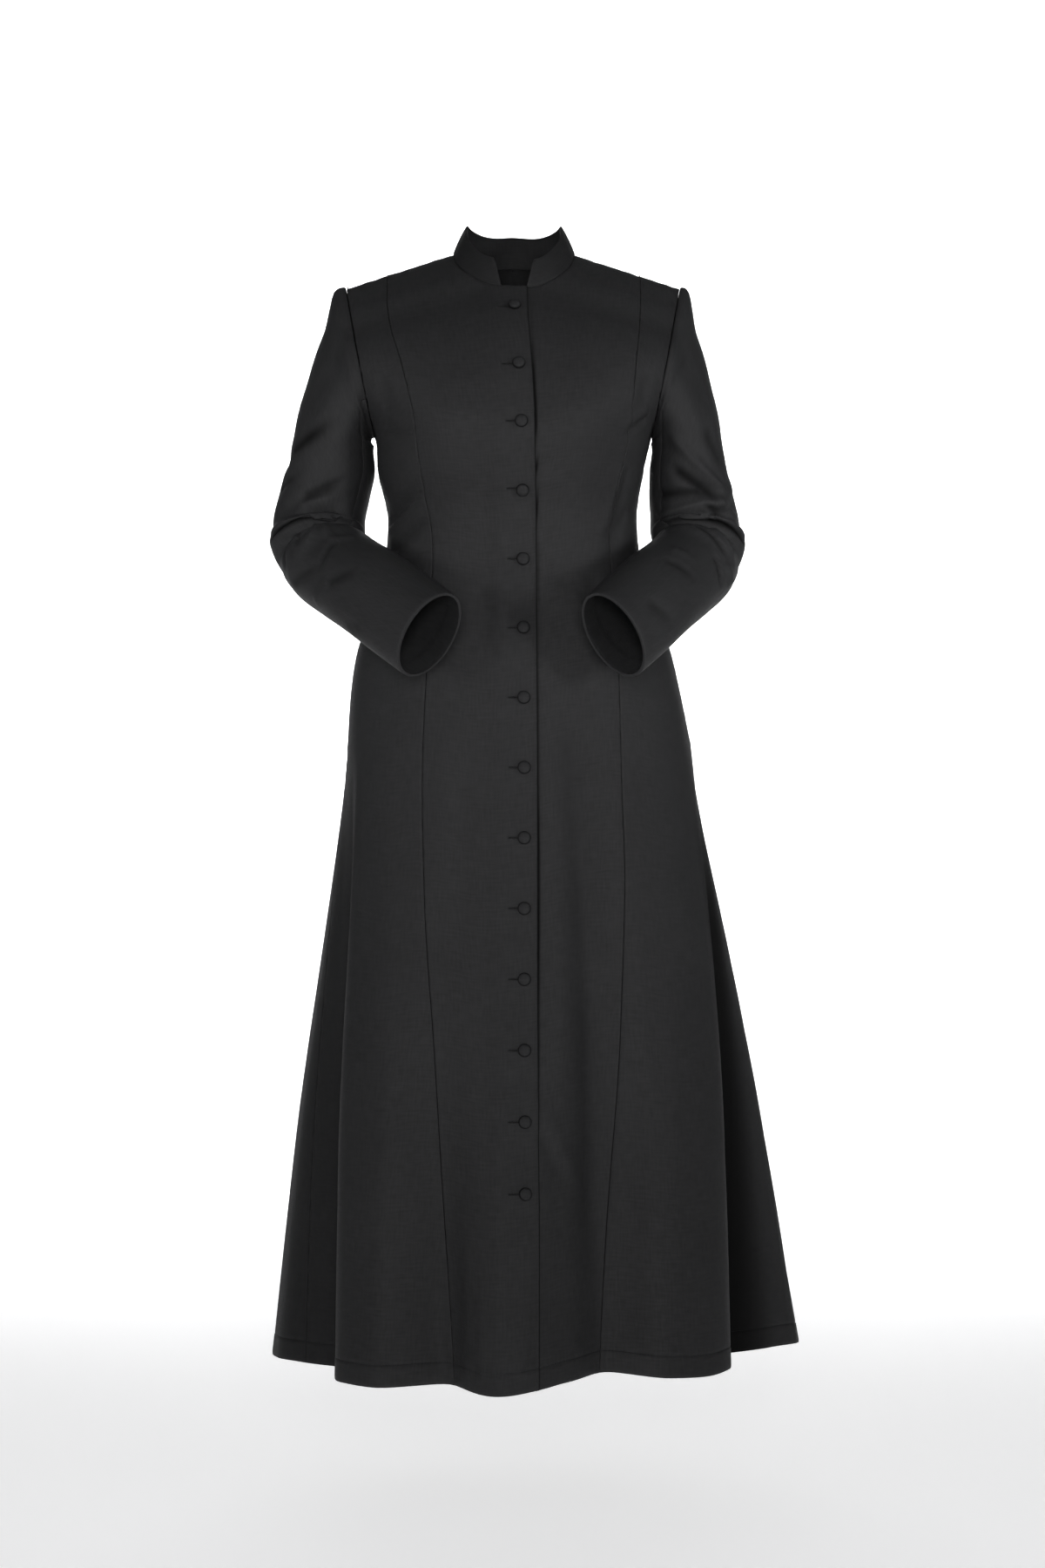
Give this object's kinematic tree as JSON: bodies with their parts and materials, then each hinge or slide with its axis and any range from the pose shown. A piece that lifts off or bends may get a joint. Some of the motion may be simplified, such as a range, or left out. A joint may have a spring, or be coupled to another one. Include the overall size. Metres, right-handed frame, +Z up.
{
  "type": "cassock",
  "caption": "Long, close-fitted black cassock as worn: princess seams, flared skirt, stand collar with a front notch, covered buttons and two-piece sleeves bent at the elbow.",
  "frame": {"origin": "centre of the neck at the height where the garment rests on the shoulders, midway between the neck's front and back", "axes": "+Z up towards the collar, -Y towards the buttoned front, +X towards the wearer's left; the garment hangs along -Z"},
  "size_m": [0.6343, 0.5394, 1.3461],
  "materials": {
    "cassock_cloth": "matte",
    "button_cloth": "matte"
  },
  "bodies": {
    "root": {"front_right": "cassock_cloth", "front_left": "cassock_cloth", "side_front_right": "cassock_cloth", "side_front_left": "cassock_cloth", "side_back_right": "cassock_cloth", "side_back_left": "cassock_cloth", "back_right": "cassock_cloth", "back_left": "cassock_cloth", "top_sleeve_right": "cassock_cloth", "top_sleeve_left": "cassock_cloth", "under_sleeve_right": "cassock_cloth", "under_sleeve_left": "cassock_cloth", "collar": "cassock_cloth", "button_01": "button_cloth", "button_02": "button_cloth", "button_03": "button_cloth", "button_04": "button_cloth", "button_05": "button_cloth", "button_06": "button_cloth", "button_07": "button_cloth", "button_08": "button_cloth", "button_09": "button_cloth", "button_10": "button_cloth", "button_11": "button_cloth", "button_12": "button_cloth", "button_13": "button_cloth", "button_14": "button_cloth"}
  },
  "joints": []
}
